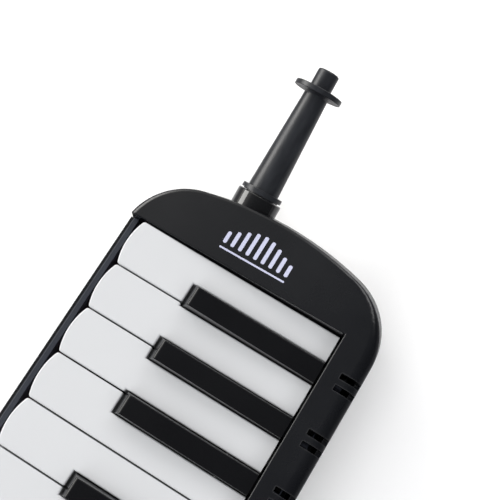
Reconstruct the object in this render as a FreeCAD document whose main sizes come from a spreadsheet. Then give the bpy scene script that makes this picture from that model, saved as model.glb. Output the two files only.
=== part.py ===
import FreeCAD, Part
import math
import os
import re
import Sketcher

# A 32-key melodica (F3 to C6). While it is built, x runs along the keyboard from the outer edge of
# the lowest white key, y runs from the player's side to the back and z is up from the white key
# tops. The finished pieces are then shifted so that the origin is under the middle of the whole
# object, on the surface that its feet stand on.

DIMENSIONS = {
    # keyboard
    "key_pitch": 19.4,
    "key_gap": 0.55,
    "white_count": 19,
    "key_rear": 86.0,
    "key_front_corner": 0.3,
    "key_front_radius": 25.4,
    "key_corner_radius": 1.2,
    "key_notch_radius": 0.75,
    "key_edge_radius": 0.7,
    "cap_depth": 9.0,
    "cap_top": 1.8,
    "cap_wall": 1.6,
    "black_slot": 9.7,
    "black_slot_front": 29.2,
    "black_side_gap": 0.35,
    "black_front_gap": 0.9,
    "black_side_slope": 0.65,
    "black_edge_radius": 0.42,
    "black_nose_radius": 1.5,
    "black_front_slope": 2.2,
    "black_rise_front": 6.0,
    "black_rise_rear": 3.2,
    "outer_shift": 0.36,
    "pair_shift": 0.185,
    # key levers, axle and valve pads
    "pivot_back": 73.0,
    "pivot_drop": 13.0,
    "axle_radius": 1.5,
    "axle_clearance": 0.05,
    "lever_width": 6.0,
    "lever_reach": 9.0,
    "foot_width": 7.8,
    "foot_thickness": 1.5,
    "pad_thickness": 1.8,
    "pad_clearance": 0.1,
    "vent_width": 5.2,
    "vent_length": 5.4,
    # case
    "case_front": -7.2,
    "case_rear": 101.7,
    "cap_length": 29.6,
    "end_radius": 135.0,
    "corner_radius": 27.0,
    "case_wall": 2.2,
    "part_level": -12.0,
    "part_gap": 0.3,
    "case_bottom": -38.5,
    "loft_level": 10.0,
    "crown_front": 0.0,
    "crown_lip": 6.5,
    "end_lean": 17.0,
    "side_draft": 0.6,
    "base_end_draft": 2.4,
    "base_side_draft": 1.2,
    "base_edge_radius": 3.0,
    "rear_edge_radius": 5.0,
    "end_edge_radius": 1.4,
    "front_edge_radius": 2.4,
    "lip_back": 87.0,
    "lip_edge_radius": 0.5,
    "opening_gap": 0.4,
    "slot_width": 2.25,
    "slot_spacing": 4.65,
    "slot_pitch": 22.75,
    "slot_start": 13.4,
    "slot_front": 93.0,
    "slot_drop": 9.0,
    # front rail and felt
    "rail_top": -6.0,
    "rail_front": -5.6,
    "rail_back": -3.4,
    "rail_ledge": -15.4,
    "ledge_depth": 10.0,
    "ledge_thickness": 2.0,
    "lip_front": -7.0,
    "lip_thickness": 1.2,
    "lip_top": -7.2,
    "felt_thickness": 1.6,
    # air chamber and reeds
    "chamber_top": -18.0,
    "chamber_split": -27.0,
    "chamber_front": 24.0,
    "chamber_rear": 95.6,
    "chamber_overhang": 6.8,
    "chamber_wall": 2.0,
    "gasket_thickness": 0.6,
    "cell_width": 7.6,
    "cell_longest": 58.0,
    "cell_shortest": 34.0,
    "cell_rear": 93.8,
    "plate_thickness": 1.0,
    "reed_root": 34.5,
    "reed_longest": 34.0,
    "reed_shortest": 14.0,
    "reed_width": 2.6,
    "reed_thickness": 0.3,
    "rivet_radius": 0.8,
    "tower_thickness": 2.0,
    "spring_thickness": 0.4,
    "small_screw_radius": 0.9,
    "small_head_radius": 1.8,
    "cover_screw_radius": 1.0,
    "small_screw_length": 5.0,
    "small_head_height": 1.0,
    "cover_screw_length": 7.0,
    "lug_size": 7.0,
    "lug_height": 4.0,
    # blow inlet and mouthpiece
    "inlet_back": 31.1,
    "collar_radius": 9.25,
    "collar_length": 5.5,
    "collar_clearance": 0.1,
    "socket_radius": 5.9,
    "socket_taper": 0.3,
    "spigot_radius": 6.6,
    "spigot_end": 14.0,
    "retainer_step": 0.95,
    "retainer_depth": 2.6,
    "retainer_thickness": 1.4,
    "plug_clearance": 0.08,
    "plug_length": 15.0,
    "duct_front": 21.0,
    "duct_rear": 42.0,
    "duct_top": -7.0,
    "duct_length": 9.4,
    "flange_radius": 8.5,
    "tube_radius": 6.5,
    "tube_tip_radius": 5.0,
    "inlet_yaw": 0.5,
    "flange_gap": 0.65,
    "flange_thickness": 1.8,
    "tube_length": 42.0,
    "guard_radius": 9.95,
    "guard_thickness": 2.1,
    "guard_flare": 0.9,
    "guard_rounding": 0.3,
    "guard_dish": 0.25,
    "tip_length": 7.8,
    "tip_rounding": 0.85,
    "tip_radius": 4.45,
    "bore_radius": 3.0,
    # drain valve, screws, feet and strap
    "drain_back": 47.0,
    "drain_level": -30.4,
    "button_radius": 5.0,
    "button_reach": 4.6,
    "button_clearance": 0.2,
    "stem_radius": 0.9,
    "drain_hole_radius": 1.5,
    "seal_radius": 2.1,
    "seal_thickness": 1.5,
    "spring_radius": 3.2,
    "wire_radius": 0.3,
    "spring_turns": 7,
    "screw_radius": 1.5,
    "screw_head_radius": 2.8,
    "screw_head_height": 2.0,
    "screw_length": 12.0,
    "screw_recess_gap": 0.3,
    "boss_radius": 4.5,
    "boss_floor": 4.0,
    "cap_boss_reach": 14.0,
    "rail_boss_top": -26.0,
    "rail_boss_back": 4.0,
    "foot_radius": 6.0,
    "foot_height": 3.5,
    "strap_width": 25.0,
    "strap_length": 132.0,
    "strap_thickness": 2.0,
    "strap_gap": 0.2,
    "plate_height": 0.8,
}

WHITE_NOTES = ["f", "g", "a", "b", "c", "d", "e"]
# The black keys of one octave that starts on F: the gap that each stands over, its note, and the
# side and share of a black slot by which it is moved off that gap.
BLACK_NOTES = {
    1: ("f_sharp", "- outer_shift * black_slot"),
    2: ("g_sharp", ""),
    3: ("a_sharp", "+ outer_shift * black_slot"),
    5: ("c_sharp", "- pair_shift * black_slot"),
    6: ("d_sharp", "+ pair_shift * black_slot"),
}
OCTAVE = 7
FIRST_OCTAVE = 3
NOTES_PER_AXLE_TOWER = 4
TURNS = {
    "x": FreeCAD.Rotation(FreeCAD.Vector(0, 1, 0), 90),
    "y": FreeCAD.Rotation(FreeCAD.Vector(1, 0, 0), -90),
    "z": FreeCAD.Rotation(),
}
TOUCH = 1e-4

doc = FreeCAD.newDocument("melodica")
sheet = doc.addObject("Spreadsheet::Sheet", "dims")
for row, (alias, number) in enumerate(DIMENSIONS.items(), start=1):
    sheet.set(f"A{row}", alias)
    sheet.set(f"B{row}", str(number))
    sheet.setAlias(f"B{row}", alias)
doc.recompute()


# ---------------------------------------------------------------- helpers

def link(text):
    """The expression with each named size turned into its cell."""
    return re.sub(r"[a-z_]+", lambda word: "dims." + word.group() if word.group() in DIMENSIONS
                  else word.group(), str(text))


def size(text):
    return float(sheet.evalExpression(link(text)))


def point(x, y, z=0):
    return FreeCAD.Vector(size(x), size(y), size(z))


def box(name, x, y, z):
    """A box between two values on each axis."""
    solid = doc.addObject("Part::Box", name)
    for side, axis, (low, high) in zip(("Length", "Width", "Height"), "xyz", (x, y, z)):
        solid.setExpression(side, link(f"({high}) - ({low})"))
        solid.setExpression(f"Placement.Base.{axis}", link(low))
    return solid


def rod(name, axis, base, length, radius):
    """A cylinder from a base point along one axis."""
    solid = doc.addObject("Part::Cylinder", name)
    solid.setExpression("Height", link(length))
    solid.setExpression("Radius", link(radius))
    solid.Placement = FreeCAD.Placement(FreeCAD.Vector(), TURNS[axis])
    for direction, value in zip("xyz", base):
        solid.setExpression(f"Placement.Base.{direction}", link(value))
    return solid


def group(name, solids):
    bundle = doc.addObject("Part::Compound", name)
    bundle.Links = solids
    return bundle


def fuse(name, solids):
    joined = doc.addObject("Part::MultiFuse", name)
    joined.Shapes = solids
    return joined


def cut(name, base, tool):
    rest = doc.addObject("Part::Cut", name)
    rest.Base = base
    rest.Tool = tool
    return rest


def origin_plane(body, role):
    return next(item for item in body.Origin.OriginFeatures if item.Role == role)


def draw(sketch, corners, arcs=None):
    """Draws a closed outline. Corners go round to the left, and arcs gives the radius of each side
    that bulges outwards."""
    arcs = arcs or {}
    places = [point(*corner) for corner in corners]
    count = len(places)
    for side, start in enumerate(places):
        end = places[(side + 1) % count]
        if side in arcs:
            sketch.addGeometry(outward_arc(start, end, size(arcs[side])), False)
        else:
            sketch.addGeometry(Part.LineSegment(start, end), False)
    for side in range(count):
        sketch.addConstraint(Sketcher.Constraint("Coincident", side, 2, (side + 1) % count, 1))
    for side, corner in enumerate(corners):
        for kind, text, value in zip(("DistanceX", "DistanceY"), corner, places[side]):
            number = sketch.addConstraint(Sketcher.Constraint(kind, -1, 1, side, 1, value))
            sketch.setExpression(f"Constraints[{number}]", link(text))
    for side, radius in arcs.items():
        number = sketch.addConstraint(Sketcher.Constraint("Radius", side, size(radius)))
        sketch.setExpression(f"Constraints[{number}]", link(radius))
    return sketch


def outward_arc(start, end, radius):
    chord = end - start
    half = chord.Length / 2
    left = FreeCAD.Vector(-chord.y, chord.x, 0).normalize()
    centre = (start + end) / 2 + left * math.sqrt(radius ** 2 - half ** 2)
    angles = [math.atan2(place.y - centre.y, place.x - centre.x) for place in (start, end)]
    circle = Part.Circle(centre, FreeCAD.Vector(0, 0, 1), radius)
    return Part.ArcOfCircle(circle, angles[0], angles[1])


def body_sketch(body, name, role, offset, corners, arcs=None):
    sketch = body.newObject("Sketcher::SketchObject", name)
    sketch.AttachmentSupport = [(origin_plane(body, role), "")]
    sketch.MapMode = "FlatFace"
    sketch.setExpression("AttachmentOffset.Base.z", link(offset))
    return draw(sketch, corners, arcs)


def pad(body, name, sketch, length, midplane=False, reverse=False):
    feature = body.newObject("PartDesign::Pad", name)
    feature.Profile = sketch
    feature.setExpression("Length", link(length))
    feature.SideType = "Symmetric" if midplane else "One side"
    feature.Reversed = reverse
    return feature


def pocket(body, name, sketch, length, midplane=False, reverse=False):
    """A pocket that has to take material away."""
    doc.recompute()
    before = body.Shape.Volume
    feature = body.newObject("PartDesign::Pocket", name)
    feature.Profile = sketch
    feature.setExpression("Length", link(length))
    feature.SideType = "Symmetric" if midplane else "One side"
    feature.Reversed = reverse
    doc.recompute()
    if not body.Shape.Volume < before - TOUCH:
        raise RuntimeError(f"{body.Name}.{name} cuts nothing")
    return feature


def edge_names(shape, test):
    return [f"Edge{number}" for number, edge in enumerate(shape.Edges, start=1) if test(edge)]


def round_edges(body, name, radius, test):
    doc.recompute()
    base = body.Tip
    feature = body.newObject("PartDesign::Fillet", name)
    feature.Base = (base, edge_names(base.Shape, test))
    feature.setExpression("Radius", link(radius))
    return feature


def middle(edge):
    return edge.valueAt((edge.FirstParameter + edge.LastParameter) / 2)


def is_upright(edge):
    ends = [vertex.Point for vertex in edge.Vertexes]
    return len(ends) == 2 and math.hypot(ends[0].x - ends[1].x, ends[0].y - ends[1].y) < TOUCH


def turned(name, outline, arcs=None):
    """A turned piece about its own x axis, from an outline of (distance, radius) corners."""
    body = doc.addObject("PartDesign::Body", name)
    sketch = body_sketch(body, f"{name}_outline", "XY_Plane", 0, outline, arcs)
    turn = body.newObject("PartDesign::Revolution", f"{name}_turn")
    turn.Profile = sketch
    turn.ReferenceAxis = (sketch, ["H_Axis"])
    turn.Angle = 360
    return body


pieces = {}


def piece(name, made):
    """Names a finished piece. Its label is the name of its file."""
    made.Label = name
    pieces[name] = made


# ---------------------------------------------------------------- keyboard layout

keyboard_end = "white_count * key_pitch"


def black_centre(gap):
    shift = BLACK_NOTES[gap % OCTAVE][1]
    return f"{gap} * key_pitch {shift}"


def has_black(gap):
    return 0 < gap < DIMENSIONS["white_count"] and gap % OCTAVE in BLACK_NOTES


def octave_of(white):
    """Octave numbers change at C, the fifth white note of the row that starts on F."""
    return FIRST_OCTAVE + (white + WHITE_NOTES.index("c") - 1) // OCTAVE


def white_sides(white):
    """The sides of a white key at its front, and between the black keys at its back."""
    front = (f"{white} * key_pitch + key_gap / 2", f"{white + 1} * key_pitch - key_gap / 2")
    left = f"{black_centre(white)} + black_slot / 2" if has_black(white) else front[0]
    right = f"{black_centre(white + 1)} - black_slot / 2" if has_black(white + 1) else front[1]
    return front, (left, right)


def keyboard():
    """Every key from the lowest note up: its name, kind, place in its row and lever centre."""
    rows = []
    for white in range(int(DIMENSIONS["white_count"])):
        if has_black(white):
            note = BLACK_NOTES[white % OCTAVE][0]
            rows.append((f"key_{note}_{octave_of(white - 1)}", "black", white, black_centre(white)))
        left, right = white_sides(white)[1]
        name = f"key_{WHITE_NOTES[white % OCTAVE]}_{octave_of(white)}"
        rows.append((name, "white", white, f"(({left}) + ({right})) / 2"))
    return rows


keys = keyboard()
levers = [row[3] for row in keys]
last_note = len(keys) - 1


def between(note):
    """The place halfway from one lever to the next."""
    return f"(({levers[note]}) + ({levers[note + 1]})) / 2"


# ---------------------------------------------------------------- keys

lever_end = "key_rear + lever_reach"
foot_front = "key_rear + 0.8"
foot_bottom = "chamber_top + pad_clearance + pad_thickness"


def white_cap(body, white):
    """The white cap: a hollow moulding with a bowed front, notched beside the black keys."""
    (left, right), (rear_left, rear_right) = white_sides(white)
    corners = [(left, "key_front_corner"), (right, "key_front_corner")]
    if has_black(white + 1):
        corners += [(right, "black_slot_front"), (rear_right, "black_slot_front")]
    corners += [(rear_right, "key_rear"), (rear_left, "key_rear")]
    if has_black(white):
        corners += [(rear_left, "black_slot_front"), (left, "black_slot_front")]
    plan = body_sketch(body, "plan", "XY_Plane", 0, corners, {0: "key_front_radius"})
    pad(body, "cap", plan, "cap_depth", reverse=True)
    rear_line = size("key_rear") - TOUCH
    notch_line, outer = size("black_slot_front") - TOUCH, (size(left), size(right))
    round_edges(body, "corners", "key_corner_radius",
                lambda edge: is_upright(edge) and middle(edge).y < notch_line)
    if has_black(white) or has_black(white + 1):
        round_edges(body, "notch_corners", "key_notch_radius",
                    lambda edge: is_upright(edge) and notch_line < middle(edge).y < rear_line
                    and min(abs(middle(edge).x - side) for side in outer) < TOUCH)
    round_edges(body, "rim", "key_edge_radius", lambda edge: abs(middle(edge).z) < TOUCH
                and abs(edge.BoundBox.ZLength) < TOUCH and middle(edge).y < rear_line)
    front_inside = "key_front_corner + cap_wall"
    wall = "cap_wall"
    notch = f"black_slot_front - {wall}"
    inside = [(f"{left} + {wall}", front_inside), (f"{right} - {wall}", front_inside)]
    if has_black(white + 1):
        inside += [(f"{right} - {wall}", notch), (f"{rear_right} - {wall}", notch)]
    inside += [(f"{rear_right} - {wall}", f"key_rear - {wall}"),
               (f"{rear_left} + {wall}", f"key_rear - {wall}")]
    if has_black(white):
        inside += [(f"{rear_left} + {wall}", notch), (f"{left} + {wall}", notch)]
    hollow = body_sketch(body, "hollow_plan", "XY_Plane", "- cap_depth", inside)
    pocket(body, "hollow", hollow, "cap_depth - cap_top", reverse=True)


def black_cap(body, gap):
    """The black cap: an upright skirt below the white tops and a sloped head above them."""
    centre = black_centre(gap)
    half = "black_slot / 2 - black_side_gap"
    front = "black_slot_front + black_front_gap"

    def plan(side_slope, front_slope):
        left, right = f"{centre} - ({half} - {side_slope})", f"{centre} + ({half} - {side_slope})"
        near = f"{front} + {front_slope}"
        return [(left, near), (right, near), (right, "key_rear"), (left, "key_rear")]

    skirt = body_sketch(body, "skirt_plan", "XY_Plane", "- cap_depth", plan(0, 0))
    pad(body, "skirt", skirt, "cap_depth")
    foot = body_sketch(body, "head_foot", "XY_Plane", 0, plan(0, 0))
    top = body_sketch(body, "head_top", "XY_Plane", "black_rise_front",
                      plan("black_side_slope", "black_front_slope"))
    head = body.newObject("PartDesign::AdditiveLoft", "head")
    head.Profile = foot
    head.Sections = [top]
    head.Ruled = True
    tip = f"{front} + black_front_slope"
    above = "black_rise_front + 1"
    slope = body_sketch(body, "slope_side", "YZ_Plane", centre,
                        [(tip, "black_rise_front"), ("key_rear + 1", "black_rise_rear"),
                         ("key_rear + 1", above), (tip, above)])
    pocket(body, "slope", slope, "black_slot * 2", midplane=True)
    low, rear_line = size("black_rise_rear") - 0.5, size("key_rear") - TOUCH

    def is_across(edge):
        return edge.BoundBox.XLength > size("black_slot") / 2

    def on_nose(edge):
        return is_across(edge) and middle(edge).z > low and middle(edge).y < rear_line

    def on_head(edge):
        centre_point = middle(edge)
        above_foot = min(vertex.Z for vertex in edge.Vertexes) > -TOUCH and centre_point.z > TOUCH
        return (above_foot and not is_across(edge) and centre_point.y < rear_line
                and (centre_point.z > low or is_front_corner(edge)))

    def is_front_corner(edge):
        return edge.BoundBox.ZLength > 2 and edge.BoundBox.YLength < size("black_front_slope") + 1

    round_edges(body, "nose", "black_nose_radius", on_nose)
    round_edges(body, "head_edges", "black_edge_radius", on_head)
    wall = "cap_wall"
    hollow = body_sketch(body, "hollow_plan", "XY_Plane", "- cap_depth",
                         [(f"{centre} - ({half}) + {wall}", f"{front} + {wall}"),
                          (f"{centre} + ({half}) - {wall}", f"{front} + {wall}"),
                          (f"{centre} + ({half}) - {wall}", f"key_rear - {wall}"),
                          (f"{centre} - ({half}) + {wall}", f"key_rear - {wall}")])
    pocket(body, "hollow", hollow, "cap_depth - cap_top", reverse=True)


def lever(body, centre):
    """The lever under a cap: a web to the axle and an arm to the valve pad behind it."""
    web_top = "0.3 - cap_top"
    hub = "- pivot_drop - axle_radius - 1.1"
    arm_bottom = "- cap_depth - 2"
    profile = [("pivot_back - 11", web_top), ("pivot_back - 11", "- cap_depth + 3"),
               ("pivot_back - 3.4", hub), ("pivot_back + 3.4", hub),
               ("pivot_back + 6", arm_bottom), ("key_rear - 0.5", arm_bottom),
               (foot_front, foot_bottom), (lever_end, foot_bottom),
               (lever_end, "- cap_depth - 1"), ("key_rear + 2", "- 3.5"),
               ("key_rear - 0.4", web_top)]
    side = body_sketch(body, "lever_side", "YZ_Plane", centre, profile)
    pad(body, "lever", side, "lever_width", midplane=True)
    foot = body_sketch(body, "foot_plan", "XY_Plane", foot_bottom,
                       [(f"{centre} - foot_width / 2", foot_front),
                        (f"{centre} + foot_width / 2", foot_front),
                        (f"{centre} + foot_width / 2", lever_end),
                        (f"{centre} - foot_width / 2", lever_end)])
    pad(body, "foot", foot, "foot_thickness")
    bore = body.newObject("Sketcher::SketchObject", "bore_side")
    bore.AttachmentSupport = [(origin_plane(body, "YZ_Plane"), "")]
    bore.MapMode = "FlatFace"
    bore.setExpression("AttachmentOffset.Base.z", link(centre))
    pivot = point("pivot_back", "- pivot_drop")
    bore.addGeometry(Part.Circle(pivot, FreeCAD.Vector(0, 0, 1), size("axle_radius")), False)
    for kind, text in (("DistanceX", "pivot_back"), ("DistanceY", "- pivot_drop")):
        number = bore.addConstraint(Sketcher.Constraint(kind, -1, 1, 0, 3, size(text)))
        bore.setExpression(f"Constraints[{number}]", link(text))
    number = bore.addConstraint(Sketcher.Constraint("Radius", 0, size("axle_radius")))
    bore.setExpression(f"Constraints[{number}]", link("axle_radius + axle_clearance"))
    pocket(body, "bore", bore, "lever_width + 4", midplane=True)


def valve_pad(name, centre):
    return box(f"{name}_pad", (f"{centre} - vent_width / 2 - 1.1", f"{centre} + vent_width / 2 + 1.1"),
               (f"{foot_front} + 0.2", f"{lever_end} - 0.2"),
               ("chamber_top + pad_clearance", foot_bottom))


def build_keys():
    for name, kind, place, centre in keys:
        body = doc.addObject("PartDesign::Body", f"{name}_lever")
        if kind == "white":
            white_cap(body, place)
        else:
            black_cap(body, place)
        lever(body, centre)
        piece(name, group(name, [body, valve_pad(name, centre)]))


# ---------------------------------------------------------------- case

end_slope = "tan(end_lean)"
crown_slope = "(crown_lip - crown_front) / lip_back"


def case_outline(name, level, end_inset, side_inset):
    """The plan of the case at one level: two straight sides, bowed ends and round corners, all
    tangent. End inset moves the bowed ends inwards and side inset moves the long sides."""
    sketch = doc.addObject("Sketcher::SketchObject", name)
    sketch.setExpression("Placement.Base.z", link(level))
    front, rear = size(f"case_front + {side_inset}"), size(f"case_rear - ({side_inset})")
    apex, far = size(f"{end_inset} - cap_length"), size(keyboard_end)
    big, small = size("end_radius"), size("corner_radius")
    half_way = (front + rear) / 2
    bow_x = apex + big
    corner_y = rear - small - half_way
    corner_x = bow_x - math.sqrt((big - small) ** 2 - corner_y ** 2)
    meet = math.atan2(corner_y, corner_x - bow_x)
    up = FreeCAD.Vector(0, 0, 1)

    def arc(x, y, radius, start, end):
        return Part.ArcOfCircle(Part.Circle(FreeCAD.Vector(x, y, 0), up, radius), start, end)

    left, right = corner_x, far - corner_x
    low, high = half_way - corner_y, half_way + corner_y
    turn = math.pi
    sketch.addGeometry([
        Part.LineSegment(FreeCAD.Vector(left, front, 0), FreeCAD.Vector(right, front, 0)),
        arc(right, low, small, -turn / 2, meet - turn),
        arc(far - bow_x, half_way, big, meet - turn, turn - meet),
        arc(right, high, small, turn - meet, turn / 2),
        Part.LineSegment(FreeCAD.Vector(right, rear, 0), FreeCAD.Vector(left, rear, 0)),
        arc(left, high, small, turn / 2, meet),
        arc(bow_x, half_way, big, meet, -meet),
        arc(left, low, small, -meet, -turn / 2),
    ], False)
    for side in range(8):
        sketch.addConstraint(Sketcher.Constraint("Tangent", side, 2, (side + 1) % 8, 1))
    for side in (0, 4):
        sketch.addConstraint(Sketcher.Constraint("Horizontal", side))
    middle_line = "(case_front + case_rear) / 2"
    bound = [("DistanceY", (0, 1), f"case_front + {side_inset}"),
             ("DistanceY", (4, 1), f"case_rear - ({side_inset})"),
             ("DistanceY", (2, 3), middle_line), ("DistanceY", (6, 3), middle_line),
             ("DistanceX", (6, 3), f"{end_inset} - cap_length + end_radius"),
             ("DistanceX", (2, 3), f"{keyboard_end} + cap_length - ({end_inset}) - end_radius")]
    for kind, spot, text in bound:
        number = sketch.addConstraint(Sketcher.Constraint(kind, -1, 1, *spot, size(text)))
        sketch.setExpression(f"Constraints[{number}]", link(text))
    for side, text in ((2, "end_radius"), (6, "end_radius"), (1, "corner_radius"),
                       (3, "corner_radius"), (5, "corner_radius"), (7, "corner_radius")):
        number = sketch.addConstraint(Sketcher.Constraint("Radius", side, size(text)))
        sketch.setExpression(f"Constraints[{number}]", link(text))
    return sketch


def loft(name, low, high):
    form = doc.addObject("Part::Loft", name)
    form.Sections = [low, high]
    form.Solid = True
    form.Ruled = True
    return form


def crown_cutter(name, drop):
    """Everything above the crown, which rises from the front to the back of the case."""
    start, reach = 40, 160
    lid = doc.addObject("Part::Box", name)
    lid.setExpression("Length", link(f"{keyboard_end} + 4 * cap_length"))
    lid.Width, lid.Height = start + reach, reach
    angle = math.degrees(math.atan(size(crown_slope)))
    lid.Placement = FreeCAD.Placement(FreeCAD.Vector(0, -start, 0),
                                      FreeCAD.Rotation(FreeCAD.Vector(1, 0, 0), angle))
    lid.setExpression("Placement.Base.x", link("-2 * cap_length"))
    lid.setExpression("Placement.Base.z", link(f"crown_front - {drop} - {start} * {crown_slope}"))
    return lid


def upper_form(name, inset):
    """The filled upper case: leaning ends under a crown that rises towards the back."""
    rise = "(loft_level - part_level)"
    base = case_outline(f"{name}_base", "part_level", inset, inset)
    top = case_outline(f"{name}_top", "loft_level", f"{inset} + {rise} * {end_slope}",
                       f"{inset} + side_draft")
    block = loft(f"{name}_loft", base, top)
    return cut(f"{name}_form", block, crown_cutter(f"{name}_lid", inset))


def lower_form(name, inset, floor):
    """The filled lower case, drawn in towards its base."""
    top = case_outline(f"{name}_top", "part_level - part_gap", inset, inset)
    base = case_outline(f"{name}_base", floor, f"{inset} + base_end_draft",
                        f"{inset} + base_side_draft")
    return loft(f"{name}_form", base, top)


def on_crown(place):
    return abs(place.z - size("crown_front") - size(crown_slope) * place.y) < TOUCH * 10


def rim_radius(place):
    """The crown's edge is round at the back, crisp on the leaning ends and soft at the front."""
    if place.y < size("case_front + 2"):
        return size("front_edge_radius")
    if place.y > size("case_rear - 2"):
        return size("rear_edge_radius")
    return size("end_edge_radius")


def soften(name, base, radius_at, test):
    """Rounds the edges that pass the test, with the radius that each end of an edge asks for."""
    doc.recompute()
    rounded = doc.addObject("Part::Fillet", name)
    rounded.Base = base
    rounded.Edges = [(number, radius_at(edge.Vertexes[0].Point), radius_at(edge.Vertexes[-1].Point))
                     for number, edge in enumerate(base.Shape.Edges, start=1) if test(edge)]
    return rounded


def inlet_frame():
    """The blow inlet starts on the leaning end wall and stands square to it."""
    half_way, radius = size("(case_front + case_rear) / 2"), size("end_radius")
    sag = radius - math.sqrt(radius ** 2 - (size("inlet_back") - half_way) ** 2)
    start = FreeCAD.Vector(sag - size("cap_length"), size("inlet_back"), size("part_level"))
    tilt = FreeCAD.Rotation(FreeCAD.Vector(0, 1, 0), 180 + size("end_lean"))
    yaw = FreeCAD.Rotation(FreeCAD.Vector(0, 0, 1), size("inlet_yaw"))
    return FreeCAD.Placement(start, yaw.multiply(tilt))


def inlet_hole(name, radius, reach):
    """A drill on the inlet's axis, as long as its reach to each side of the end wall."""
    drill = doc.addObject("Part::Cylinder", name)
    drill.setExpression("Radius", link(radius))
    drill.Height = 2 * reach
    along = FreeCAD.Placement(FreeCAD.Vector(-reach, 0, 0), TURNS["x"])
    drill.Placement = inlet_frame().multiply(along)
    return drill


cap_bosses = [(f"{side}", back) for side in ("- cap_boss_reach", f"{keyboard_end} + cap_boss_reach")
              for back in ("10", "62", "86")]
rail_bosses = [(f"{share} * key_pitch", "rail_boss_back") for share in (2, 7, 12, 17)]
cap_seat = "part_level - part_gap - boss_floor"
rail_seat = "rail_boss_top - part_gap - boss_floor"
case_floor = "case_bottom + case_wall"


def build_upper_case():
    outer = soften("upper_rounded", upper_form("upper_outer", "0"), rim_radius,
                   lambda edge: all(on_crown(vertex.Point) for vertex in edge.Vertexes)
                   and on_crown(middle(edge)))
    skirts = [box(f"skirt_{side}", span, ("case_front - 5", "lip_back + 2"), ("part_level + 2", 30))
              for side, span in (("left", ("- opening_gap - case_wall", "- opening_gap")),
                                 ("right", (f"{keyboard_end} + opening_gap",
                                            f"{keyboard_end} + opening_gap + case_wall")))]
    bosses = [rod(f"upper_boss_{number}", "z", (*spot, "part_level - 1"), 40, "boss_radius")
              for number, spot in enumerate(cap_bosses)]
    cavity = cut("upper_cavity", upper_form("upper_inner", "case_wall"),
                 fuse("upper_kept", skirts + bosses))
    opening = box("key_opening", ("- opening_gap", f"{keyboard_end} + opening_gap"),
                  (-60, "lip_back"), (-60, 60))
    pilots = [rod(f"pilot_{number}", "z", (*spot, cap_seat), "screw_length", "screw_radius")
              for number, spot in enumerate(cap_bosses)]
    shell = cut("upper_open", cut("upper_shell", outer, cavity),
                group("upper_openings", [opening, *pilots, inlet_hole("upper_inlet",
                                         "collar_radius + collar_clearance", 30)]))
    lip = soften("upper_lip", shell, lambda place: size("lip_edge_radius"), is_opening_edge)
    piece("upper_case", cut("upper_slotted", lip, sound_slots()))


def is_opening_edge(edge):
    """The straight edges where the crown meets the key opening."""
    place = middle(edge)
    beside = min(abs(place.x + size("opening_gap")),
                 abs(place.x - size(f"{keyboard_end} + opening_gap"))) < TOUCH
    return on_crown(place) and (beside or abs(place.y - size("lip_back")) < TOUCH)


def sound_slots():
    """Pairs of slots that run over the crown's rear edge, one pair for every two notes."""
    slots = []
    for pair in range(len(keys) // 2):
        for place in (0, 1):
            centre = f"slot_start + {pair} * slot_pitch + {place} * slot_spacing"
            slots.append(box(f"slot_{pair}_{place}",
                             (f"{centre} - slot_width / 2", f"{centre} + slot_width / 2"),
                             ("slot_front", "case_rear + 10"),
                             ("crown_lip + 0.5 - slot_drop", 40)))
    return group("sound_slots", slots)


def build_lower_case():
    outer = soften("lower_rounded", lower_form("lower_outer", "0", "case_bottom"),
                   lambda place: size("base_edge_radius"),
                   lambda edge: all(abs(vertex.Z - size("case_bottom")) < TOUCH
                                    for vertex in edge.Vertexes))
    columns = [(spot, "part_level - part_gap") for spot in cap_bosses]
    columns += [(spot, "rail_boss_top - part_gap") for spot in rail_bosses]
    bosses = [rod(f"lower_boss_{number}", "z", (*spot, "case_bottom"), f"{top} - case_bottom",
                  "boss_radius") for number, (spot, top) in enumerate(columns)]
    cavity = cut("lower_cavity", lower_form("lower_inner", "case_wall", case_floor),
                 fuse("lower_kept", bosses))
    lip = box("front_lip", ("- opening_gap + 0.2", f"{keyboard_end} + opening_gap - 0.2"),
              ("lip_front", "lip_front + lip_thickness"), ("part_level - 2", "lip_top"))
    holes = []
    for number, (spot, seat) in enumerate([(spot, cap_seat) for spot in cap_bosses]
                                          + [(spot, rail_seat) for spot in rail_bosses]):
        holes.append(rod(f"recess_{number}", "z", (*spot, "case_bottom - 1"),
                         f"{seat} - case_bottom + 1", "screw_head_radius + screw_recess_gap"))
        holes.append(rod(f"clearance_{number}", "z", (*spot, f"{seat} - 1"), "boss_floor + 2",
                         "screw_radius + 0.2"))
    holes.append(inlet_hole("lower_inlet", "collar_radius + collar_clearance", 30))
    holes.append(rod("button_hole", "x", (f"{keyboard_end} + chamber_overhang + 4", "drain_back",
                                          "drain_level"), 30, "button_radius + button_clearance"))
    shell = fuse("lower_walls", [cut("lower_shell", outer, cavity), lip])
    piece("lower_case", cut("lower_drilled", shell, group("lower_holes", holes)))


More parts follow.
